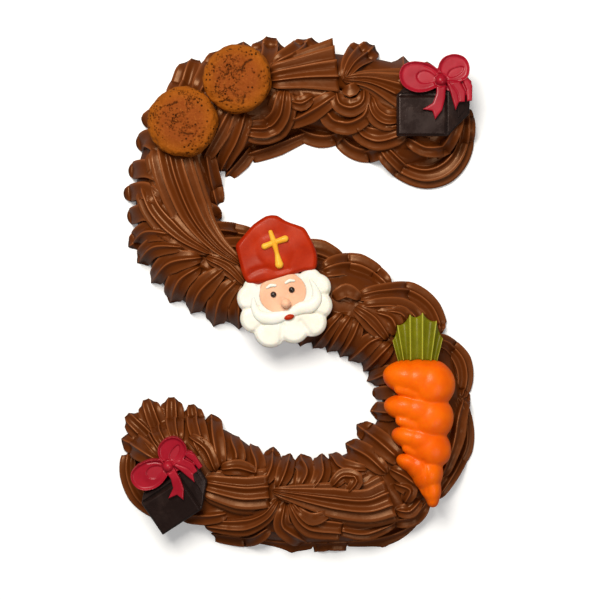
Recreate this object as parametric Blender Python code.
"""A chocolate letter S, piped with a star nozzle and dressed with sweets.

The letter lies on its back: +Y runs up the letter, +Z away from the table, and the origin is under its middle.
Tables are in millimetres. Meshes are made in metres.
"""

import math

import bmesh
import bpy
import numpy as np
from mathutils import Matrix

MM = 0.001
GAP = 0.3  # room kept between two pieces
CUTTER_TOP = 40.0  # height of the blocks that clear a seat for a decoration
CUTTER_SIDES = 20

TOP = 15.0  # height of the piped mound along the letter's spine
CORE_INSET = 3.4  # how far the filling under the strands lies below that mound
FLOOR_SINK = 1.6  # how far a strand that laps over the side runs below the table before it is cut
STRAND_FILL = 1.12  # how far strands are widened so that neighbours close up
STATION_STEP = 7.5  # length of strand between two sections
FLAT_ANGLE = math.radians(13)  # faces that turn less than this are joined
RIDGE_STEPS = 2  # points along the section from one groove to the next
SECTION_END = math.radians(112)  # how far round its side a strand's ribbed arch runs
RIDGE_DEPTH = 0.21  # depth of the grooves between ridges, as a share of the strand's radius

# The spine of the S: x, y and half the band's width, from the upper right end to the lower left end.
SPINE = [
    (53, 59, 10), (44, 61, 20), (30, 67, 19.5), (16, 71, 17.5), (0, 73, 17), (-15, 70, 18.5), (-30, 62, 18.5),
    (-40, 51, 17), (-43, 38, 17), (-42, 26, 17.5), (-36, 14, 18.5), (-22, 5, 18), (-5, 1.5, 18.5),
    (12, -3, 17.7), (29, -10, 17.5), (40, -22, 17.5), (44.5, -38, 17.3), (42, -53, 19.3), (34.5, -64.5, 19.5),
    (19, -72, 18.5), (2, -73.7, 17.3), (-16, -71, 18), (-32, -63.5, 20.5), (-45, -59, 18), (-52, -58, 10),
]

# Each piped strand: the points it runs through, its half width at the start, the middle and the end,
# the ridges that the nozzle left on it, how far it is lifted over its neighbours, and how its two ends
# are shaped: L laps over the side to the table, B is cut off bluntly, P runs out to a point.
TOP_BAR = [
    ([(-36.5, 79.5), (-38, 74), (-41, 66)], (6.2, 6.4, 6), 4, 0, "LP"),
    ([(-27.5, 83), (-30, 77), (-34, 70)], (5, 5, 4), 3, 0, "LP"),
    ([(-19, 85.5), (-20, 78), (-24, 70)], (6, 6, 5), 3, 0, "LP"),
    ([(-9.5, 87), (-10.5, 82), (-14, 76)], (7, 6, 5), 4, 0, "LP"),
    ([(4, 86.5), (1, 83), (-8, 79)], (6.6, 5.5, 3.5), 4, 0.4, "LP"),
    ([(13.8, 78.7), (4, 77.6), (-9, 75.5)], (10, 7.6, 5.5), 6, 1.0, "BP"),
    ([(16.5, 74.5), (19.8, 80), (24.2, 84.6)], (1.5, 4.5, 7.6), 5, 0.8, "PL"),
    ([(37.5, 80), (37, 76), (35, 70)], (5, 4.5, 4), 3, -0.5, "LP"),
    ([(46, 79.5), (45.5, 75), (44, 68)], (5, 4.5, 4), 3, -0.5, "LP"),
    ([(16.5, 74.8), (26, 74.4), (37, 71)], (1.3, 4.2, 8), 6, 1.0, "PB"),
    ([(53, 77), (51, 70), (48, 64)], (6, 6, 5), 3, -1, "LP"),
]
TOP_LOOPS = [
    ([(15, 57), (20, 52.6), (26, 51.2), (33, 53.2)], (4, 4.6, 4.2), 3, -1.5, "PP"),
    ([(0, 59.5), (5, 57), (11, 56.2), (17, 58.2)], (3.5, 4.2, 3.6), 3, -1.5, "PP"),
    ([(31, 52.5), (38, 46.5), (46, 44.1), (53.2, 47.4), (57.3, 54.8), (57.8, 67)],
     (5, 6.4, 4.6), 5, -0.6, "PP"),
    ([(39, 54.5), (45, 51.5), (51, 52.5), (54.5, 58), (56, 65)], (3, 4, 3), 3, 0.2, "PP"),
    ([(21, 61), (24.5, 57), (30, 55.8), (38, 58)], (4, 5.4, 4.5), 4, -0.6, "PP"),
    ([(9.5, 65.5), (13, 61.3), (18.5, 60.2), (23.5, 62.6), (25.5, 67.5)], (3.4, 4.4, 3), 3, 0.1, "PP"),
    ([(26, 68.5), (27.3, 64), (31, 61), (36, 61)], (2.6, 4.0, 3.4), 4, 0.2, "PP"),
    ([(14, 70), (15, 66.5), (19, 65), (23, 67), (23.6, 71)], (2.6, 3.6, 2.2), 3, 1.0, "PP"),
    ([(16.5, 71.5), (18.7, 70.6), (21.5, 72.6)], (2.4, 3.2, 2.2), 2, 1.8, "PP"),
    ([(14, 69.5), (8, 65.5), (1, 62), (-4, 60.5)], (2.4, 4.2, 3), 3, 0.4, "PP"),
    ([(-2, 67.4), (2, 66.6), (6, 69)], (2.2, 3, 2), 3, 0.2, "PP"),
]
SHOULDER = [
    ([(0, 57.2), (-8, 52.8), (-18, 49.6)], (3.2, 4.2, 3.6), 3, -1.5, "PP"),
    ([(-15, 54), (-19.4, 48.4), (-25, 42)], (3, 4, 3), 3, -1.2, "PP"),
    ([(-22, 66), (-27, 57), (-32, 48)], (4, 4.5, 3), 3, 0, "PP"),
    ([(-19, 64), (-22, 55.5), (-27.5, 44.5)], (4.6, 5.2, 2.8), 4, 0.5, "PP"),
    ([(-4, 71), (-5.6, 63), (-10.5, 58.4), (-18.5, 58)], (3.6, 5.8, 4.6), 5, 0.7, "PP"),
    ([(-52, 62), (-48, 64), (-44, 64)], (4, 4, 3), 2, -0.5, "LP"),
    ([(-53.5, 54), (-50, 54), (-45, 49)], (4.2, 4.4, 3), 2, 0, "LP"),
    ([(-56.3, 44), (-51, 43.6), (-45, 40)], (4, 4, 3), 2, 0, "LP"),
    ([(-58, 36), (-52, 36), (-46, 32)], (4, 4, 3), 2, 0, "LP"),
    ([(-31.5, 51), (-30, 41), (-28, 32)], (3.4, 3.8, 3.2), 3, -0.3, "PP"),
    ([(-33, 32), (-29, 29.6), (-27, 27)], (2.4, 2.8, 2), 2, -0.5, "PP"),
    ([(-32, 22.5), (-25, 22.6), (-15, 21)], (2.8, 3.6, 3), 3, -0.4, "PP"),
    ([(-30, 17.5), (-22, 17), (-13, 17)], (2.4, 3.4, 3), 3, 0, "PP"),
    ([(-52.5, 37.5), (-48.5, 29), (-40, 20.5), (-30, 14.5)], (4.6, 4.8, 1.6), 4, 0.5, "PP"),
    ([(-44.5, 52), (-41.5, 40), (-36, 27), (-28.5, 17.5), (-19, 10.5)], (8.5, 7.6, 1.4), 7, 1.4, "PP"),
    ([(-31, 13.2), (-24, 10), (-18, 4)], (1.8, 3, 2), 2, 1.0, "PP"),
]
LOWER_EDGE_COMMAS = [
    ([(-57, 28), (-52, 28.5), (-47, 26)], (3.8, 3.8, 2.6), 2, -0.2, "LP"),
    ([(-56.5, 19), (-51.5, 22), (-43, 21)], (3.6, 4, 2.4), 3, 0.2, "LP"),
    ([(-53.5, 13.5), (-48.6, 16.8), (-39, 16.6)], (3.4, 3.9, 1.8), 3, 0.4, "LP"),
    ([(-48.5, 7), (-43.5, 11.3), (-33, 13)], (3.4, 4.2, 2), 3, 0.4, "LP"),
    ([(-43, 0.5), (-40, 5.6), (-33.5, 9.8)], (3.8, 4.2, 2.4), 3, 0.4, "LP"),
    ([(-35.5, -3), (-32.8, 2), (-25, 9)], (3.6, 4.2, 2), 3, 0.5, "LP"),
    ([(-28, -7), (-26, -1), (-20.5, 5)], (4.2, 4.2, 2.4), 3, 0.4, "LP"),
    ([(-20, -8), (-19.5, -2), (-17, 4)], (3.8, 3.8, 3), 3, 0, "LP"),
]
MIDDLE = [
    ([(-12.5, -9.5), (-12, -5), (-11, 2)], (3.8, 4, 4), 3, -1, "LP"),
    ([(-5, -12.5), (-5, -7), (-5, 0)], (4, 4, 4), 3, -1, "LP"),
    ([(2.5, -14), (4, -8), (6, -1)], (4.2, 4, 4), 3, -1, "LP"),
    ([(0, 15.2), (8, 14.6), (16, 11)], (4.4, 5.2, 4), 3, -1.2, "PP"),
    ([(9, 7.6), (17, 9), (25, 7), (32.4, 1.6)], (4.4, 6.2, 4.4), 4, -0.2, "PP"),
    ([(22, -1.2), (30, 0.2), (39, 0), (46.5, -5), (50.5, -14)], (3, 4.8, 4), 4, 0, "PP"),
    ([(23, -4.2), (33, -3.8), (40, -6), (44.5, -13)], (2.4, 3.4, 3), 3, 0.8, "PP"),
    ([(13, -0.8), (17.5, 1.6), (22.5, -1)], (2.8, 3.2, 2.2), 2, 1.0, "PP"),
    ([(11, -4), (16, -4.2), (20.5, -2.6)], (2, 2.4, 2), 2, 1.8, "PP"),
    ([(16, -6.5), (12, -11), (8.2, -16)], (1.6, 2.6, 3.2), 3, 0.2, "PL"),
    ([(19, -7.5), (16, -12), (13, -17)], (1.8, 2.8, 3.4), 3, 0.4, "PL"),
    ([(22, -9), (20, -14), (17.5, -18.5)], (2.2, 3.2, 3.6), 3, 0.2, "PL"),
    ([(30, -14.5), (26, -16.2), (21.5, -20.5)], (2.6, 3.6, 3.8), 3, 0.9, "PL"),
    ([(33, -17), (30, -20), (26.5, -24)], (2.8, 3.4, 3.6), 3, 0.6, "PL"),
    ([(20.5, -4.5), (26, -8.5), (31.5, -15)], (2.4, 3.8, 2.6), 4, 1.4, "PP"),
    ([(27, -6), (33, -8), (35.5, -14)], (2.4, 3.6, 2.6), 3, 1.0, "PP"),
    ([(31, -5.5), (36.5, -6.5), (40.5, -11)], (2.2, 3, 2.4), 3, 1.3, "PP"),
]
LOWER_BOWL = [
    ([(36, -27), (32, -27.5), (28.5, -29)], (3, 3.2, 3.4), 3, 0, "PL"),
    ([(37, -34), (33, -34), (30, -34.5)], (3, 3, 3), 2, 0, "PL"),
    ([(37, -41), (33, -41), (29.5, -41)], (3.2, 3.4, 3.6), 3, 0, "PL"),
    ([(52, -19), (56, -22.5), (58.4, -29), (57.4, -37)], (3, 4.4, 3), 4, -0.4, "PP"),
    ([(60, -34), (57, -42), (55, -52), (51, -63)], (2.6, 3.8, 2.6), 3, 0.2, "PP"),
    ([(56, -36), (58.6, -44), (58.4, -53), (54, -62), (48, -71)], (2.6, 4.4, 2.6), 4, -0.8, "PP"),
    ([(9, -87), (25, -86.3), (38, -82.4), (46.6, -74.6)], (3.2, 4.2, 3), 3, -2, "PP"),
    ([(34, -79), (41, -77.5), (46, -72.5)], (3.4, 4, 2.6), 3, -1, "PP"),
    ([(15.5, -80.8), (24, -81.8), (34.5, -78.6)], (3, 4.4, 3), 4, -0.6, "BP"),
    ([(24.5, -48), (29.5, -51.5), (37, -58)], (3.8, 4.3, 3), 3, 0.5, "LP"),
    ([(20.5, -54), (25.5, -56.6), (31.5, -62)], (3.4, 3.9, 2.4), 3, 0.2, "LP"),
    ([(14.5, -58.5), (17.5, -60.5), (25, -61)], (3, 3.4, 2), 3, 0, "LP"),
    ([(33, -60.5), (38, -63), (43, -67)], (2, 3.2, 2.4), 3, 0.6, "PP"),
    ([(34.5, -65.5), (39.4, -67.4), (38, -72)], (2.4, 3.2, 2.2), 3, 0.8, "PP"),
    ([(35, -75), (39.6, -75.2), (43.5, -71.5)], (2.6, 3.2, 2.2), 3, 0.2, "PP"),
    ([(32.5, -70.5), (24.5, -73), (12, -71.8), (-8, -68)], (8, 6.6, 1.4), 6, 1.3, "BP"),
    ([(12.5, -66.5), (16.4, -62.8), (21, -64.2), (18, -68.6)], (2, 3, 1.8), 3, 1.6, "PP"),
]
LOWER_BAR = [
    ([(-22, -53), (-21, -57), (-23, -62)], (3.4, 3.6, 2.6), 3, 0, "LP"),
    ([(-15, -56.5), (-14, -60), (-14.5, -65)], (3.4, 3.6, 2.6), 3, 0, "LP"),
    ([(-8.5, -57), (-9.2, -61), (-11.5, -66)], (3.4, 3.6, 2.2), 3, 0.2, "LP"),
    ([(-3, -59), (-4.4, -63), (-6.5, -67.5)], (3.0, 3.2, 2), 3, 0.2, "LP"),
    ([(2.5, -59.5), (3.2, -63), (0.5, -68)], (3.6, 3.8, 2), 3, 0.2, "LP"),
    ([(9, -59.5), (8.6, -63.5), (5, -68.5)], (3.4, 3.4, 2), 3, 0.2, "LP"),
    ([(-18, -85.4), (-2, -87.4), (14, -86.8)], (3.2, 4.2, 3.2), 3, -2, "PP"),
    ([(-9, -81), (-17, -84.6), (-30, -83.8)], (2.8, 4, 3), 3, -1.2, "PP"),
    ([(-24, -76), (-31, -77), (-40, -77)], (3, 3.6, 3), 3, -0.6, "PP"),
    ([(-6.5, -71.5), (-11, -77), (-19, -80.2), (-32, -80)], (1.8, 4, 2.6), 4, 0, "PP"),
    ([(-4, -73), (-4.6, -80), (1, -85)], (1.6, 3.6, 3.8), 3, 0, "PL"),
    ([(-2, -72), (4, -79), (15.5, -81)], (1.6, 4.8, 4.4), 4, 0.5, "PB"),
    ([(0, -74), (5.5, -77.6), (11.5, -75.8)], (1.4, 2.8, 2), 2, 1.2, "PP"),
    ([(-10, -68.2), (-19, -68.6), (-32, -66)], (7.2, 6.8, 5), 6, 0.9, "BP"),
    ([(-26, -60.5), (-20, -60), (-13.5, -62)], (2.4, 3, 2), 3, 1.0, "PP"),
]
LOWER_END = [
    ([(-58.6, -55.5), (-58.4, -64), (-53.6, -72.4), (-44, -79)], (3.6, 4.4, 3), 4, -0.8, "PP"),
    ([(-60.2, -51.5), (-54, -54), (-47, -58)], (4, 4.2, 3), 3, 0, "LP"),
    ([(-57.6, -44.8), (-52.4, -49.8), (-47, -56)], (4, 4.2, 2.6), 3, 0.2, "LP"),
    ([(-52, -40.2), (-49.6, -46.4), (-45, -54)], (4.2, 4.2, 3), 3, 0.2, "LP"),
    ([(-44, -39.4), (-43.6, -45), (-41.5, -52)], (4.2, 4.2, 3), 3, 0, "LP"),
    ([(-36.6, -42), (-35.6, -47), (-32, -56)], (4, 4.2, 3), 3, 0.2, "LP"),
    ([(-29.5, -45.6), (-28.6, -51), (-26.5, -60)], (3.8, 4, 2.8), 3, 0.2, "LP"),
    ([(-37, -49.5), (-31.5, -53.5), (-28, -61)], (2.2, 3, 2.2), 3, 1.2, "PP"),
]
STRANDS = (TOP_BAR + TOP_LOOPS + SHOULDER + LOWER_EDGE_COMMAS + MIDDLE + LOWER_BOWL + LOWER_BAR + LOWER_END)


def clear_scene():
    for thing in list(bpy.data.objects):
        bpy.data.objects.remove(thing, do_unlink=True)


def material(name, colour, roughness, metallic=0.0):
    made = bpy.data.materials.new(name)
    made.use_nodes = True
    shader = made.node_tree.nodes["Principled BSDF"]
    shader.inputs["Base Color"].default_value = (*colour, 1.0)
    shader.inputs["Roughness"].default_value = roughness
    shader.inputs["Metallic"].default_value = metallic
    return made


def painted(thing, colour_material):
    thing.data.materials.clear()
    thing.data.materials.append(colour_material)
    return thing


def smooth_path(points, count):
    """Points in even steps along the smooth curve through the given ones."""
    knots = np.array(points, float)
    before, after = 2 * knots[0] - knots[1], 2 * knots[-1] - knots[-2]
    knots = np.vstack([before, knots, after])
    fine = []
    for a, b, c, d in zip(knots, knots[1:], knots[2:], knots[3:]):
        for t in np.linspace(0, 1, 16, endpoint=False):
            fine.append(0.5 * (2 * b + (c - a) * t + (2 * a - 5 * b + 4 * c - d) * t**2
                               + (3 * b - a - 3 * c + d) * t**3))
    fine = np.array(fine + [knots[-2]])
    length = np.concatenate([[0], np.cumsum(np.linalg.norm(np.diff(fine[:, :2], axis=0), axis=1))])
    at = np.linspace(0, length[-1], count)
    return np.array([np.interp(at, length, fine[:, k]) for k in range(fine.shape[1])]).T, length[-1]


SPINE_LINE, _ = smooth_path(SPINE, 160)


def mound(x, y, inset):
    """Height at (x, y) of the piped mound's skin, taken in by inset from its sides and its top."""
    away = np.hypot(SPINE_LINE[:, 0] - x, SPINE_LINE[:, 1] - y)
    nearest = int(np.argmin(away))
    reach = SPINE_LINE[nearest, 2] - inset
    return (TOP - inset) * math.sqrt(max(0.0, 1 - (away[nearest] / reach) ** 2))


def sweep(bm, rings):
    """A closed solid through rings of points that all have the same count."""
    loops = [[bm.verts.new(p) for p in ring] for ring in rings]
    count = len(loops[0])
    for one, two in zip(loops, loops[1:]):
        for k in range(count):
            bm.faces.new((one[k], one[(k + 1) % count], two[(k + 1) % count], two[k]))
    bm.faces.new(loops[0][::-1])
    bm.faces.new(loops[-1])


def finished(name, bm, colour_material=None, smooth=True):
    """The object of a bmesh whose points are in millimetres."""
    bmesh.ops.scale(bm, vec=(MM, MM, MM), verts=bm.verts)
    bmesh.ops.recalc_face_normals(bm, faces=bm.faces)
    mesh = bpy.data.meshes.new(name)
    bm.to_mesh(mesh)
    bm.free()
    if smooth:
        mesh.shade_smooth()
        mesh.set_sharp_from_angle(angle=math.radians(40))
    thing = bpy.data.objects.new(name, mesh)
    bpy.context.scene.collection.objects.link(thing)
    if colour_material:
        mesh.materials.append(colour_material)
    return thing


def section(ridges):
    """A strand's section for a radius of one: a ribbed arch over a plain underside."""
    points = []
    for k in range(RIDGE_STEPS * ridges + 1):
        share = k / (RIDGE_STEPS * ridges)
        angle = math.radians(-90 + 180 * share)
        radius = 1.0 - RIDGE_DEPTH * abs(math.cos(math.pi * share * ridges))
        points.append((radius * math.sin(angle), radius * math.cos(angle)))
    low = (math.sin(SECTION_END) * (1 - RIDGE_DEPTH), math.cos(SECTION_END))
    return [(-low[0], low[1])] + points + [low]


def strand(name, points, widths, ridges, lift, ends):
    """One piped strand: its ribbed section carried along its path over the mound."""
    path, length = smooth_path(points, 48)
    share = np.linspace(0, 1, len(path))
    half = np.interp(share, np.linspace(0, 1, len(widths)), widths) * STRAND_FILL
    tall = np.clip(0.5 * half + 1.7, 1.6, 6.0)
    height = np.array([mound(x, y, h) for (x, y), h in zip(path, tall)]) + lift
    run = share * length
    for letter, distance in ((ends[0], run), (ends[1], length - run)):
        if letter == "L":  # laps over the side
            down = np.clip(distance / 5.0, 0, 1)
            height = height * np.sqrt(1 - (1 - down) ** 2) - FLOOR_SINK * (1 - down) ** 4
        if letter == "P":  # runs out
            nose = np.clip(distance / 4.0, 0, 1)
            half = half * (0.35 + 0.65 * np.sqrt(1 - (1 - nose) ** 2))
            tall = tall * (0.35 + 0.65 * np.sqrt(1 - (1 - nose) ** 2))
            height = height - 1.2 * (1 - nose) ** 2
    line = np.column_stack([path, height])
    step = np.concatenate([[0], np.cumsum(np.linalg.norm(np.diff(line, axis=0), axis=1))])
    count = max(4, round(step[-1] / STATION_STEP) + 2)
    at = np.linspace(0, step[-1], count)
    line = np.array([np.interp(at, step, line[:, k]) for k in range(3)]).T
    half, tall = np.interp(at, step, half), np.interp(at, step, tall)
    ahead = np.gradient(line, axis=0)
    ahead /= np.linalg.norm(ahead, axis=1)[:, None]
    side = np.column_stack([-ahead[:, 1], ahead[:, 0], np.zeros(count)])
    side /= np.maximum(np.linalg.norm(side, axis=1)[:, None], 1e-9)
    out = np.cross(ahead, side)
    profile = section(ridges)
    rings = []
    for place, across, up in zip(line, side * half[:, None], out * tall[:, None]):
        rings.append([place + across * a + up * b for a, b in profile])
    bm = bmesh.new()
    sweep(bm, rings)
    return finished(name, bm, smooth=False)


def core():
    """The filling under the strands, an arch along the spine."""
    line, _ = smooth_path(SPINE, 34)
    ahead = np.gradient(line[:, :2], axis=0)
    ahead /= np.linalg.norm(ahead, axis=1)[:, None]
    rings = []
    for (x, y, reach), (dx, dy) in zip(line, ahead):
        ring = []
        for k in range(9):
            angle = math.radians(-90 + 180 * k / 8)
            across = (reach - CORE_INSET) * math.sin(angle)
            ring.append((x - dy * across, y + dx * across, (TOP - CORE_INSET) * math.cos(angle)))
        ring += [(ring[-1][0], ring[-1][1], -FLOOR_SINK), (ring[0][0], ring[0][1], -FLOOR_SINK)]
        rings.append(ring)
    bm = bmesh.new()
    sweep(bm, rings)
    return finished("core", bm, smooth=False)


def boolean(thing, operation, others):
    """One Boolean with a whole collection, applied, with the collection's objects then removed."""
    group = bpy.data.collections.new("boolean group")
    for other in others:
        group.objects.link(other)
    modifier = thing.modifiers.new("boolean", "BOOLEAN")
    modifier.operation = operation
    modifier.operand_type = "COLLECTION"
    modifier.collection = group
    modifier.solver = "MANIFOLD"
    evaluated = thing.evaluated_get(bpy.context.evaluated_depsgraph_get())
    result = bpy.data.meshes.new_from_object(evaluated)
    thing.modifiers.remove(modifier)
    thing.data = result
    for other in others:
        bpy.data.objects.remove(other, do_unlink=True)
    bpy.data.collections.remove(group)
    return thing


def keep_largest_body(thing):
    """Drop loose scraps and the walls of hollows that the union sealed."""
    bm = bmesh.new()
    bm.from_mesh(thing.data)
    left, bodies = set(bm.faces), []
    while left:
        body, front = [], [left.pop()]
        while front:
            face = front.pop()
            body.append(face)
            for edge in face.edges:
                for other in edge.link_faces:
                    if len(edge.link_faces) == 2 and other in left:
                        left.remove(other)
                        front.append(other)
        bodies.append(body)
    bodies.sort(key=len, reverse=True)
    for body in bodies[1:]:
        bmesh.ops.delete(bm, geom=body, context="FACES")
    bm.to_mesh(thing.data)
    bm.free()


def thinned(thing, angle):
    """The same form in fewer triangles: its nearly flat faces are joined, then cut anew."""
    bm = bmesh.new()
    bm.from_mesh(thing.data)
    bmesh.ops.dissolve_limit(bm, angle_limit=angle, verts=bm.verts, edges=bm.edges)
    bmesh.ops.triangulate(bm, faces=bm.faces)
    bm.to_mesh(thing.data)
    bm.free()


def block(name, low, high):
    bm = bmesh.new()
    bmesh.ops.create_cube(bm, size=1.0)
    size = np.subtract(high, low)
    middle = np.add(high, low) / 2
    for vert in bm.verts:
        vert.co = middle + np.array(vert.co) * size
    return finished(name, bm, smooth=False)


def prism(name, outline, low, high, colour_material=None):
    bm = bmesh.new()
    sweep(bm, [[(x, y, low) for x, y in outline], [(x, y, high) for x, y in outline]])
    return finished(name, bm, colour_material, smooth=False)


def grown(outline, by):
    """A closed outline that runs anticlockwise, moved outwards by a distance."""
    points = np.array(outline, float)
    along = np.roll(points, -1, axis=0) - points
    normal = np.column_stack([along[:, 1], -along[:, 0]])
    normal /= np.linalg.norm(normal, axis=1)[:, None]
    before = np.roll(normal, 1, axis=0)
    corner = normal + before
    corner /= np.maximum(np.sum(corner * normal, axis=1), 0.5)[:, None]
    return points + corner * by


def puffy(outline, low, high, edge):
    """Rings of a flat piece whose rim is rounded over by edge."""
    steps = ((low, -0.4 * edge), (low + 0.5 * edge, 0), (high - edge, 0), (high, -edge))
    return [[(x, y, z) for x, y in grown(outline, by)] for z, by in steps]


def placed(thing, centre, turn=0.0, tilt=0.0, towards=0.0):
    """Stand a piece at a place in millimetres, turned about Z, its rim let down by tilt in one direction."""
    lean = Matrix.Rotation(tilt, 4, (-math.sin(towards), math.cos(towards), 0))
    thing.matrix_world = Matrix.Translation([c * MM for c in centre]) @ lean @ Matrix.Rotation(turn, 4, "Z")
    return thing


def ellipse(rx, ry, count, x=0.0, y=0.0, turn=0.0):
    points = []
    for k in range(count):
        a = 2 * math.pi * k / count
        across, along = rx * math.cos(a), ry * math.sin(a)
        points.append((x + across * math.cos(turn) - along * math.sin(turn),
                       y + across * math.sin(turn) + along * math.cos(turn)))
    return points


def circle_prism(x, y, radius, low, high):
    """A round cutter that clears a circle of the given radius."""
    around = radius / math.cos(math.pi / CUTTER_SIDES)
    return prism("cutter", ellipse(around, around, CUTTER_SIDES, x, y), low, high)


def turned(profile, rx, ry, sides, x=0.0, y=0.0, z=0.0, turn=0.0, uneven=0.0, phase=0.0):
    """Rings of a turned form from (share of radius, height) pairs, a little uneven round its rim."""
    rings = []
    for share, height in profile:
        ring = []
        for k, (a, b) in enumerate(ellipse(rx * share, ry * share, sides, 0, 0, turn)):
            angle = 2 * math.pi * k / sides
            more = 1 + uneven * (math.sin(3 * angle + phase) + 0.6 * math.sin(5 * angle + 2 * phase))
            ring.append((x + a * more, y + b * more, z + height))
        rings.append(ring)
    return rings


def solid(name, rings, colour_material=None):
    bm = bmesh.new()
    sweep(bm, rings)
    return finished(name, bm, colour_material)


def ribbon(points, widths, count=14):
    """The outline of a flat strip with round ends, anticlockwise, through points with half widths."""
    path, _ = smooth_path(points, count)
    half = np.interp(np.linspace(0, 1, count), np.linspace(0, 1, len(widths)), widths)
    ahead = np.gradient(path, axis=0)
    ahead /= np.linalg.norm(ahead, axis=1)[:, None]
    side = np.column_stack([-ahead[:, 1], ahead[:, 0]])
    right = path - side * half[:, None]
    left = path + side * half[:, None]
    nose = path[-1] + ahead[-1] * half[-1] * 0.8
    heel = path[0] - ahead[0] * half[0] * 0.8
    return [tuple(p) for p in right] + [tuple(nose)] + [tuple(p) for p in left[::-1]] + [tuple(heel)]


# Spiced biscuits: centre, radius, how far the outer rim is let down and which way, and the phase of the
# unevenness of their rim.
COOKIES = {
    "cookie_left": ((-39.3, 60.2, 12.7), 12.3, math.radians(8), math.radians(135), 0.4),
    "cookie_right": ((-20.4, 75.2, 12.7), 12.0, math.radians(8), math.radians(112), 2.1),
}
COOKIE_PROFILE = [(0.86, 0), (0.97, 1.0), (1.0, 2.8), (0.975, 4.8), (0.88, 6.8), (0.62, 8.1), (0.3, 8.6)]


def cookies(baked):
    cutters = []
    for name, (centre, radius, tilt, towards, phase) in COOKIES.items():
        rings = turned(COOKIE_PROFILE, radius, radius, 22, uneven=0.012, phase=phase)
        placed(solid(name, rings, baked), centre, tilt=tilt, towards=towards)
        cutter = circle_prism(0, 0, radius * 1.02 + GAP, -GAP, CUTTER_TOP)
        cutters.append(placed(cutter, centre, tilt=tilt, towards=towards))
    return cutters


# A gift moulded in dark chocolate with a red bow, drawn about the middle of its front face.
GIFT_OUTLINE = [(-9, -7.25), (9, -7.25), (16.7, 0.75), (17, 9.25), (-6, 10.25), (-9, 7.25)]
GIFT_FRONT = [(-8.5, -6.75), (8.5, -6.75), (8.7, 0), (8.5, 6.8), (-5, 6.9), (-8.5, 6.8)]
GIFT_RIM, GIFT_FACE, BOW_TOP, BOW_RECESS = 2.4, 4.7, 7.6, 1.3
BOW_KNOT = (6.3, 12.4)
BOW_TAILS = [
    [(4.6, 11), (4.4, 7.5), (3, 4), (-0.2, 2), (3.4, 1.7), (4.2, -1.4), (6.6, 2), (7.6, 6), (7.8, 11)],
    [(8, 12.5), (9.4, 8.5), (10.4, 5), (11.5, 2), (12.7, 4.8), (14.6, 4.8), (15, 8), (13, 12)],
    [(15.2, 5), (17.3, 5.2), (17.5, 11), (15, 13.5), (13.5, 13)],
]
GIFTS = {  # centre, turn, size, how far the outer rim is let down and which way
    "upper": ((44, 62.75, 12.9), 0.0, 1.0, math.radians(2), math.radians(20)),
    "lower": ((-43.4, -73.6, 11.0), math.radians(33.5), 0.93, math.radians(9), math.radians(262)),
}


def bow_outlines():
    knot = ellipse(2.2, 2.2, 10, *BOW_KNOT)
    left = ellipse(6.6, 5.5, 16, -1.2, 14.0)
    left_neck = ribbon([(2, 13.6), (6, 12.6)], (3.6, 1.8), 5)
    right = ellipse(6.4, 4.7, 16, 11.5, 17.0, math.radians(50))
    return [knot, left, left_neck, right] + [tail[::-1] if area(tail) < 0 else tail for tail in BOW_TAILS]


def area(outline):
    points = np.array(outline, float)
    ahead = np.roll(points, -1, axis=0)
    return 0.5 * float(np.sum(points[:, 0] * ahead[:, 1] - ahead[:, 0] * points[:, 1]))


def gifts(dark, red):
    cutters = []
    for name, (centre, turn, size, tilt, towards) in GIFTS.items():
        def scaled(outline, by=size):
            return [(x * by, y * by) for x, y in outline]
        box = solid(f"gift_box_{name}", [
            [(x, y, 0) for x, y in grown(scaled(GIFT_OUTLINE), -0.3)],
            [(x, y, GIFT_RIM) for x, y in scaled(GIFT_OUTLINE)],
            [(x, y, GIFT_FACE) for x, y in scaled(GIFT_FRONT)],
        ], dark)
        box.data.shade_flat()
        outlines = [scaled(outline) for outline in bow_outlines()]
        parts = [solid("bow part", puffy(outline, 0, BOW_TOP, 0.7)) for outline in outlines]
        bow = parts[0]
        bow.name = f"gift_bow_{name}"
        boolean(bow, "UNION", parts[1:])
        holes = [ellipse(3.3, 2.1, 10, 1.9, 13.9), ellipse(2.9, 1.8, 10, 11.8, 16.2, math.radians(42))]
        recesses = [prism("cutter", scaled(hole), BOW_TOP - BOW_RECESS, 20) for hole in holes]
        under = prism("cutter", grown(scaled(GIFT_OUTLINE), GAP), -5, GIFT_FACE + GAP)
        boolean(bow, "DIFFERENCE", recesses + [under])
        keep_largest_body(bow)
        painted(bow, red)
        seats = [scaled(GIFT_OUTLINE)] + outlines
        pockets = [prism("cutter", grown(outline, GAP), -GAP, CUTTER_TOP) for outline in seats]
        for thing in [box, bow] + pockets:
            placed(thing, centre, turn, tilt, towards)
        cutters += pockets
    return cutters


# The carrot's piped lobes: centre, half length, half width, turn and underside, then its leaves.
LOBES = [
    ((43.2, -31.3), 13.4, 8.6, math.radians(-6), 12.2),
    ((42.8, -41.8), 12.9, 7.6, math.radians(-12), 12.4),
    ((43.6, -51.2), 11.2, 7.2, math.radians(-14), 12.2),
    ((43.8, -59.6), 8.8, 6.6, math.radians(-18), 11.6),
    ((46.6, -68), 7.2, 3.6, math.radians(-72), 10.4),
]
LOBE_PROFILE = [(0.82, 0), (0.98, 2.2), (1.0, 4.2), (0.9, 7.4), (0.64, 9.8), (0.25, 11.0)]
LEAF_CRESTS = [((35, -24.5), (33.2, -16)), ((38, -24.5), (35.6, -10.3)), ((40.8, -24.5), (40, -6.6)),
               ((43.8, -24.5), (44.4, -5.7)), ((46.9, -24.5), (49.3, -8.9)), ((49.8, -24.5), (51.7, -15.2))]
LEAF_SEAT = [(34.6, -25), (50.4, -25), (52.4, -15), (50, -8), (44.4, -4.8), (39.6, -5.8), (34.8, -9.6),
             (32.4, -16)]
LEAF_LOW, LEAF_CREST, LEAF_VALLEY = 12.4, 18.0, 15.6
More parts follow.
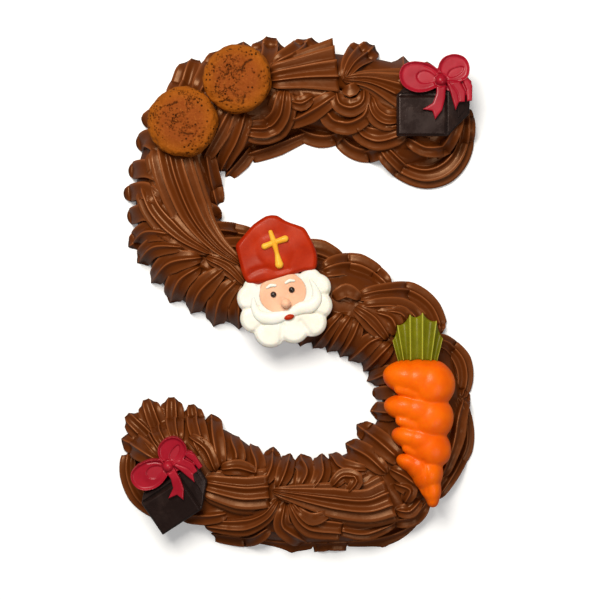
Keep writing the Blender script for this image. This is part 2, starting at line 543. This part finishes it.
LEAF_BEND, LEAF_DROOP = 0.55, 2.2  # where along its length a leaf bends, and how far its tip hangs


def carrot(orange, green):
    lobes, cutters = [], []
    for (x, y), rx, ry, turn, low in LOBES:
        lobes.append(solid("lobe", turned(LOBE_PROFILE, rx, ry, 14, x, y, low, turn)))
        outline = ellipse(rx * 1.02 + GAP, ry * 1.02 + GAP, CUTTER_SIDES, x, y, turn)
        cutters.append(prism("cutter", outline, low - GAP, CUTTER_TOP))
    root = lobes[0]
    root.name = "carrot_root"
    boolean(root, "UNION", lobes[1:])
    keep_largest_body(root)
    painted(root, orange)
    line = []
    for k, (foot, tip) in enumerate(LEAF_CRESTS):
        line.append((foot, tip, LEAF_CREST))
        if k + 1 < len(LEAF_CRESTS):
            next_foot, next_tip = LEAF_CRESTS[k + 1]
            middle = ((foot[0] + next_foot[0]) / 2, foot[1])
            dip = ((tip[0] + next_tip[0]) / 2, min(tip[1], next_tip[1]) - 0.8)
            line.append((middle, dip, LEAF_VALLEY))
    rings = []
    for foot, tip, height in line:
        bend = np.add(foot, np.subtract(tip, foot) * LEAF_BEND)
        rings.append([(*foot, LEAF_LOW), (*tip, LEAF_LOW), (*tip, height - LEAF_DROOP), (*bend, height),
                      (*foot, height)])
    leaves = solid("carrot_leaves", rings, green)
    (x, y), rx, ry, turn, _ = LOBES[0]
    clear = prism("cutter", ellipse(rx + GAP, ry + GAP, CUTTER_SIDES, x, y, turn), 0, CUTTER_TOP)
    boolean(leaves, "DIFFERENCE", [clear])
    painted(leaves, green)
    cutters.append(prism("cutter", LEAF_SEAT, LEAF_LOW - GAP, CUTTER_TOP))
    return cutters


# The bishop's head in icing. Its up axis leans to the left.
HEAD_CENTRE, HEAD_LEAN = (-4.6, 0.6), math.radians(14.5)
HEAD_LOW, HEAD_TOP, MITRE_TOP = 13.0, 16.8, 17.8
MITRE = [(-11.9, 4.2), (1.4, 8.1), (6.3, 8.8), (7.4, 11.6), (7.2, 15), (5.3, 19.3), (3.2, 23.2), (0.7, 24.6),
         (-3.9, 26.3), (-6.6, 27.7), (-9.4, 27.9), (-11.9, 26.9), (-16.1, 23.5), (-20.3, 18.2), (-20.7, 15.4),
         (-19, 8.2), (-17.2, 4.2), (-15.6, 3.7)]
BEARD_LOBES = [(-3.5, -3, 11.5), (-15.6, -1.2, 5.1), (-14.4, -8.2, 5.2), (-9, -12.8, 5.7), (-0.8, -11.6, 5.4),
               (5.6, -9.4, 5.2), (7.9, -3.6, 4.9), (7.6, 2.8, 4.7), (5.0, 5.4, 4.0), (-15.8, 3.0, 2.6)]
MOUSTACHE = [(-14.2, -0.6), (-12.4, -5.2), (-7, -7.4), (-2.8, -6.6), (3.6, -5.2), (7.6, -2), (7.0, 2.2),
             (5, 6)]
MOUSTACHE_WIDTHS, MOUSTACHE_TOP = (0.9, 2.0, 2.5, 1.6, 2.4, 2.0, 1.4, 0.8), 19.4
CROSS = [[(-5.3, 9.6), (-7.1, 16), (-8.9, 22.4)], [(-11.2, 16.8), (-7.2, 18.2), (-3.2, 19.9)]]


def on_head(across, up):
    """A place on the face, measured from its middle, across and up its own axis."""
    c, s = math.cos(HEAD_LEAN), math.sin(HEAD_LEAN)
    return (HEAD_CENTRE[0] + across * c - up * s, HEAD_CENTRE[1] + across * s + up * c)


def head(colours):
    def piece(name, outline, low, high, edge, colour):
        return solid(name, puffy(outline, low, high, edge), colours[colour])

    def room(outline, low=0.0, by=GAP):
        return prism("cutter", grown(outline, by), low, CUTTER_TOP)

    face_outline = ellipse(8.9, 7.4, 22, *HEAD_CENTRE, HEAD_LEAN)
    piece("mitre", MITRE, HEAD_LOW, MITRE_TOP, 1.2, "red")
    face = piece("face", face_outline, HEAD_LOW, HEAD_TOP, 0.8, "skin")
    boolean(face, "DIFFERENCE", [room(MITRE)])
    lobes = []
    for x, y, radius in BEARD_LOBES:
        lobes.append(piece("lobe", ellipse(radius, radius, 12, x, y), HEAD_LOW, HEAD_TOP, 1.4, "white"))
    beard = lobes[0]
    beard.name = "beard"
    boolean(beard, "UNION", lobes[1:])
    boolean(beard, "DIFFERENCE", [room(MITRE), room(face_outline)])
    keep_largest_body(beard)

    low, nose, mouth = HEAD_TOP + GAP, on_head(0, -3.6), on_head(0, -8.6)
    whiskers = ribbon(MOUSTACHE, MOUSTACHE_WIDTHS, 18)
    moustache = piece("moustache", whiskers, low, MOUSTACHE_TOP, 0.9, "white")
    spots = [ellipse(1.9, 1.9, 12, *nose), ellipse(2.0, 0.9, 14, *mouth, HEAD_LEAN)]
    boolean(moustache, "DIFFERENCE", [room(spot) for spot in spots])
    keep_largest_body(moustache)
    ball = turned([(0.9, 0), (1, 1.2), (0.85, 2.4), (0.45, 3.2)], 1.8, 1.8, 12, *nose, low)
    solid("nose", ball, colours["skin"])
    lips = turned([(0.95, 0), (1, 0.5), (0.7, 1.0)], 2.0, 0.9, 14, *mouth, low, HEAD_LEAN)
    solid("mouth", lips, colours["red"])
    for side, across in (("left", -1), ("right", 1)):
        eye = on_head(3.3 * across, 0.4)
        dot = turned([(1, 0), (0.95, 0.6), (0.5, 1.2)], 1.1, 1.1, 12, *eye, low)
        solid(f"eye_{side}", dot, colours["dark"])
        brow = [on_head(across * a, b) for a, b in ((1.9, 3.3), (3.4, 3.7), (4.9, 3.3))]
        outline = ribbon(brow, (0.6, 0.8, 0.5), 6)
        outline = outline if area(outline) > 0 else outline[::-1]
        piece(f"brow_{side}", outline, low, low + 0.9, 0.3, "white")
    bars = []
    for bar in CROSS:
        outline = ribbon(bar, (1.0, 0.9, 1.0), 7)
        bars.append(piece("bar", outline, MITRE_TOP + GAP, MITRE_TOP + 1.6, 0.5, "yellow"))
    bars[0].name = "mitre_cross"
    boolean(bars[0], "UNION", bars[1:])
    for thing, colour in ((face, "skin"), (beard, "white"), (moustache, "white"), (bars[0], "yellow")):
        painted(thing, colours[colour])
    bottom = HEAD_LOW - GAP
    return [room(MITRE, bottom), room(face_outline, bottom)] + [
        circle_prism(x, y, r + GAP, bottom, CUTTER_TOP) for x, y, r in BEARD_LOBES]


def letter(milk, cutters):
    thing = core()
    thing.name = "letter"
    boolean(thing, "UNION", [strand(f"strand_{i}", *row) for i, row in enumerate(STRANDS)])
    boolean(thing, "DIFFERENCE", [block("table", (-90, -120, -20), (90, 120, 0))])
    boolean(thing, "DIFFERENCE", cutters)
    thinned(thing, FLAT_ANGLE)
    keep_largest_body(thing)
    painted(thing, milk)


def main():
    clear_scene()
    cutters = cookies(material("baked biscuit", (0.36, 0.13, 0.025), 0.8))
    dark = material("dark chocolate", (0.025, 0.014, 0.011), 0.3)
    cutters += gifts(dark, material("red sweet", (0.5, 0.015, 0.05), 0.4))
    orange = material("orange icing", (0.95, 0.14, 0.0), 0.4)
    cutters += carrot(orange, material("green icing", (0.2, 0.26, 0.01), 0.45))
    cutters += head({
        "red": material("red icing", (0.42, 0.03, 0.008), 0.4),
        "skin": material("peach icing", (0.9, 0.5, 0.3), 0.45),
        "white": material("white icing", (0.9, 0.86, 0.76), 0.5),
        "yellow": material("yellow icing", (0.95, 0.45, 0.03), 0.4),
        "dark": material("dark icing", (0.02, 0.01, 0.008), 0.3),
    })
    letter(material("milk chocolate", (0.115, 0.036, 0.012), 0.38), cutters)


main()
